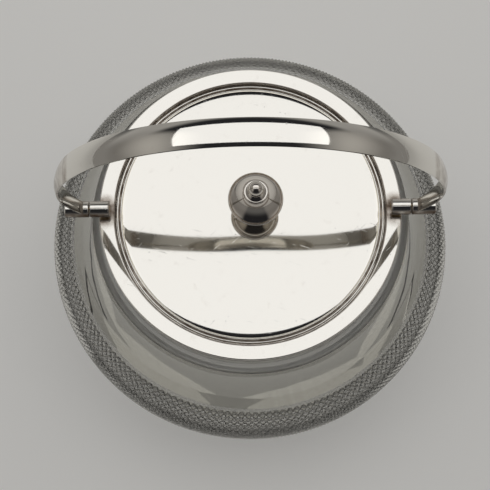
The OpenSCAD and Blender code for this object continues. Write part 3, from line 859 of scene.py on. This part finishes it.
show("lid_disc", skin("lid_disc", dome_rings + turned(lid_edge)), lid_silver,
     "lid", ["lid_disc"])

flange_top = dome_z(FLANGE_R, LID_SHEET) - FLANGE_GAP
flange_profile = [(FLANGE_R, flange_top)]
flange_profile += [(FLANGE_R - inward, FLANGE_LOW + up) for inward, up in FLANGE_EDGE]
flange_profile += [(FLANGE_R - FLANGE_SHEET, flange_top)]
show("lid_flange", skin("lid_flange", turned(flange_profile), "joined"), lid_silver,
     "lid", ["lid_flange"])


# ---------------------------------------------------------------- knob
# A turned and plated finial in three parts: a foot that draws in to a waist,
# a bell with a double rim and a hollow cone, and a bead with a ball. A brass
# screw, washer and nut hold it through the lid.
KNOB_COLUMNS = 96
KNOB_SINK = 0.1
KNOB_FOOT_R = 6.0
KNOB_FOOT_HIGH = 1.6
# How far in from the foot's edge, in quarters of its height, and how far up
# its top runs over into the waist.
FOOT_FILLET = ((2.4, 0.05), (3, 0.6))
WAIST_FROM = 3.2
WAIST_R = 3.4
WAIST_UP = 5.0
WAIST_BEAD = 0.25
WAIST_BEAD_HIGH = 0.85
RIM_R = 9.75
RIM_UP = 6.6
RIM_HIGH = 2.6
LOWER_RIM_IN = 0.3
BELL_FLARE = 0.75
BELL_STEPS = 14
CONE_HIGH = 7.0
CONE_HOLLOW = 0.5
CONE_LEAN = (0.76, 0.65)
CONE_TOP_R = 2.75
CONE_FOOT = (-0.35, -0.2)
# From the upper rim's roll to the cone: steps out from its middle and up from the cone.
RIM_LIP = ((0.12, -0.22), (-0.1, -0.3))
CONE_STEPS = 12
BEAD_R = 4.45
BEAD_TALL = 2.2
BEAD_EDGE = 0.7
BEAD_TOP_IN = 0.15
BEAD_TOP_UP = 1.35
BALL_R = 2.85
BALL_SINK = 0.8
BALL_NECK_OUT = 0.35
BALL_NECK_UP = 1.7
BALL_NECK_IN = 0.15
BALL_FROM = 0.2

knob_z = dome_z(math.hypot(KNOB_X, KNOB_Y))
waist_z = knob_z + WAIST_UP
rim_z = waist_z + RIM_UP
cone_z = rim_z + RIM_HIGH / 2
bead_z = cone_z + CONE_HIGH
ball_z = bead_z + BEAD_TALL + BALL_R - BALL_SINK
quarter = KNOB_FOOT_HIGH / 4
foot_top = knob_z + KNOB_FOOT_HIGH
waist_curve = WAIST_UP - KNOB_FOOT_HIGH

foot_profile = [(0, knob_z - KNOB_SINK), (KNOB_FOOT_R - quarter, knob_z - KNOB_SINK)]
foot_profile += arc((KNOB_FOOT_R - quarter, knob_z + quarter), quarter, -90, 80, 10)
foot_profile += arc((KNOB_FOOT_R - 2 * quarter, knob_z + 3 * quarter), quarter, -20, 90, 8)
foot_profile += [(KNOB_FOOT_R - inward * quarter, foot_top + up) for inward, up in FOOT_FILLET]
foot_profile += [p for p in arc((WAIST_R + waist_curve, waist_z), waist_curve, -120, -180, 16)
                 if p[0] < KNOB_FOOT_R - WAIST_FROM * quarter]
foot_profile += [(0, waist_z)]

edge_r = RIM_R - RIM_HIGH / 4
lower_r = edge_r - LOWER_RIM_IN
bell_low = waist_z + WAIST_BEAD_HIGH
bell_high = RIM_UP - RIM_HIGH / 2 - WAIST_BEAD_HIGH
cap_profile = [(0, waist_z), (WAIST_R, waist_z), (WAIST_R + WAIST_BEAD, waist_z + WAIST_BEAD),
               (WAIST_R + WAIST_BEAD, bell_low - WAIST_BEAD), (WAIST_R, bell_low)]
for k in range(1, BELL_STEPS + 1):
    t = k / BELL_STEPS
    swell = 0.5 - 0.5 * math.cos(math.pi * t)
    cap_profile.append((WAIST_R + (lower_r - WAIST_R) * ((1 - BELL_FLARE) * t + BELL_FLARE * swell),
                        bell_low + bell_high * t))
cap_profile += arc((lower_r, rim_z - RIM_HIGH / 4), RIM_HIGH / 4, -80, 50, 10)
cap_profile += arc((edge_r, rim_z + RIM_HIGH / 4), RIM_HIGH / 4, -50, 62, 10)
cap_profile += [(edge_r + out, cone_z + up) for out, up in RIM_LIP]
cone_low = (edge_r + CONE_FOOT[0], cone_z + CONE_FOOT[1])
cone_high = (CONE_TOP_R, bead_z)
for k in range(CONE_STEPS + 1):
    t = k / CONE_STEPS
    bend = 4 * t * (1 - t) * CONE_HOLLOW
    cap_profile.append((cone_low[0] + (cone_high[0] - cone_low[0]) * t - bend * CONE_LEAN[0],
                        cone_low[1] + (cone_high[1] - cone_low[1]) * t - bend * CONE_LEAN[1]))
cap_profile += [(0, bead_z)]

bead_flat_r = BEAD_R - BEAD_EDGE
tip_profile = [(0, bead_z), (bead_flat_r, bead_z)]
tip_profile += arc((bead_flat_r, bead_z + BEAD_EDGE), BEAD_EDGE, -80, 75, 12)
tip_profile += [(bead_flat_r - BEAD_TOP_IN, bead_z + BEAD_TOP_UP),
                (BALL_R + BALL_NECK_OUT, bead_z + BALL_NECK_UP),
                (BALL_R - BALL_NECK_IN, bead_z + BEAD_TALL)]
ball_low = -math.degrees(math.asin((BALL_R - BALL_SINK - BALL_FROM) / BALL_R))
tip_profile += arc((0, ball_z), BALL_R, ball_low, 90, 20)

# The same plate as the lid's, worn thinner and greyer by hands.
WORN_SILVER = linear("#e6e0d8")
knob_middle = (KNOB_X, KNOB_Y, 0)
knob_silver = silver_plate("silver_plate_turned_knob_worn",
                           [(ROUND_Z, knob_middle, edge_r - 0.15, 0.2, 0.6),
                            (ROUND_Z, knob_middle, BEAD_R + 0.1, 0.35, 0.7)], WORN_SILVER)
for name, profile in (("knob_base", foot_profile), ("knob_cap", cap_profile),
                      ("knob_tip", tip_profile)):
    show(name, skin(name, turned(profile, (KNOB_X, KNOB_Y), KNOB_COLUMNS)), knob_silver,
         "lid", [name])
for name in ("knob_stud", "knob_washer", "knob_nut"):
    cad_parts[name].material_slots[0].material = brass


# ---------------------------------------------------------------- bail and its knuckles
# A flat silver-plated strip, rolled with a crowned outside, bent to an oval
# hoop and drawn narrow to its ends, which are brazed to two short tubes.
BAIL_HALF = 66.7
BAIL_TOP = collar_top + 85.8
BAIL_WIDE_Z = collar_top + 27.0
STRIP_T = 2.0
# Heights, and how wide the strip is there.
STRIP_WIDTHS = [(collar_top, 4.4), (102.0, 4.6), (112.0, 5.5), (123.0, 6.8), (137.0, 8.1),
                (152.4, 8.9), (168.0, 9.0), (200.0, 9.0)]
STRIP_CROWN = 0.85
STRIP_INNER_CROWN = 0.45
STRIP_EDGE = 0.6
STRIP_FACE = 0.96
STRIP_COLUMNS = 12
STRIP_STEPS = 200
STRIP_ENDS_UP = 0.4
KNUCKLE_IN = 58.13
KNUCKLE_OUT = 66.83
KNUCKLE_ROUND = 0.5
KNUCKLE_GAP = 0.05

rise = BAIL_TOP - BAIL_WIDE_Z
end_drop = math.degrees(math.asin((BAIL_WIDE_Z - AXIS_Z - STRIP_ENDS_UP * TUBE_R) / rise))


def strip_width(z):
    """Width of the strip at a height, in straight steps between the measured places."""
    for (low, wide_low), (high, wide_high) in zip(STRIP_WIDTHS, STRIP_WIDTHS[1:]):
        if low <= z <= high:
            t = (z - low) / (high - low)
            return wide_low + (wide_high - wide_low) * t
    return STRIP_WIDTHS[-1][1]


strip_rings = []
for k in range(STRIP_STEPS + 1):
    a = math.radians(-end_drop + (180 + 2 * end_drop) * k / STRIP_STEPS)
    outer = Vector((BAIL_HALF * math.cos(a), 0, BAIL_WIDE_Z + rise * math.sin(a)))
    inner = Vector(((BAIL_HALF - STRIP_T) * math.cos(a), 0,
                    BAIL_WIDE_Z + (rise - STRIP_T) * math.sin(a)))
    inward = inner - outer
    half = strip_width(outer.z) / 2
    widths = [half * math.sin((-1 + 2 * j / STRIP_COLUMNS) * math.pi / 2 * STRIP_FACE)
              for j in range(STRIP_COLUMNS + 1)]
    ring = [outer + inward * (STRIP_CROWN / STRIP_T * (y / half) ** 2) + Vector((0, y, 0))
            for y in widths]
    ring.append(outer + inward * STRIP_EDGE + Vector((0, half, 0)))
    ring += [outer + inward * (1 - STRIP_INNER_CROWN / STRIP_T * (y / half) ** 2)
             + Vector((0, y, 0)) for y in reversed(widths)]
    ring.append(outer + inward * STRIP_EDGE + Vector((0, -half, 0)))
    strip_rings.append([p * MM for p in ring])

# The strip's outside is buffed like the rest. Its inside is a little hazier,
# because a buff hardly reaches it, and its colour is painted greyer as painted shade.
INSIDE_SHADE_SILVER = linear("#bab7b1")
INSIDE_HAZE = 0.03
INSIDE_FROM = 0.6
BRAZE_X = 60.2
KNUCKLE_BRAZE_X = 61.0
end_crease = (ALONG_X, MIDDLE, BRAZE_X, 1.6, 0.5)
# The wide band round the hoop's widest point is painted shade on its steep sides.
bail_silver = silver_plate("silver_plate_rolled_strip",
                           [end_crease, (ALONG_X, MIDDLE, BAIL_HALF, 8.0, 0.6)])
strip = show("bail_strip", skin("bail_strip", strip_rings, "capped"), bail_silver,
             "bail", ["bail_strip"])
shaded_inside_silver = silver_plate("silver_plate_hazy_inside_painted_shade", [end_crease],
                             INSIDE_SHADE_SILVER, INSIDE_HAZE)
strip.data.materials.append(shaded_inside_silver)
# Faces turned into the hoop get the greyer silver, as painted shade.
for face in strip.data.polygons:
    spot = face.center / MM
    inward = Vector((-spot.x / BAIL_HALF ** 2, 0, (BAIL_WIDE_Z - spot.z) / rise ** 2)).normalized()
    if face.normal.dot(inward) > INSIDE_FROM:
        face.material_index = 1
# The band along Y is painted shade on the knuckle's front and back flanks. The other two bands
# darken its inner end and its braze.
knuckle_silver = silver_plate("silver_plate_knuckle",
                              [(ALONG_X, MIDDLE, KNUCKLE_IN, 0.3, 0.9),
                               (ALONG_X, MIDDLE, KNUCKLE_BRAZE_X, 1.6, 0.4),
                               (ALONG_Y, MIDDLE, TUBE_R, 1.3, 1.0)])
for word, side in (("left", -1), ("right", 1)):
    tube = tube_rings(side, KNUCKLE_IN, KNUCKLE_OUT, PIN_R + KNUCKLE_GAP, KNUCKLE_ROUND)
    show("knuckle_" + word, skin("knuckle_" + word, tube, "joined"),
         knuckle_silver, "bail", ["knuckle_" + word])
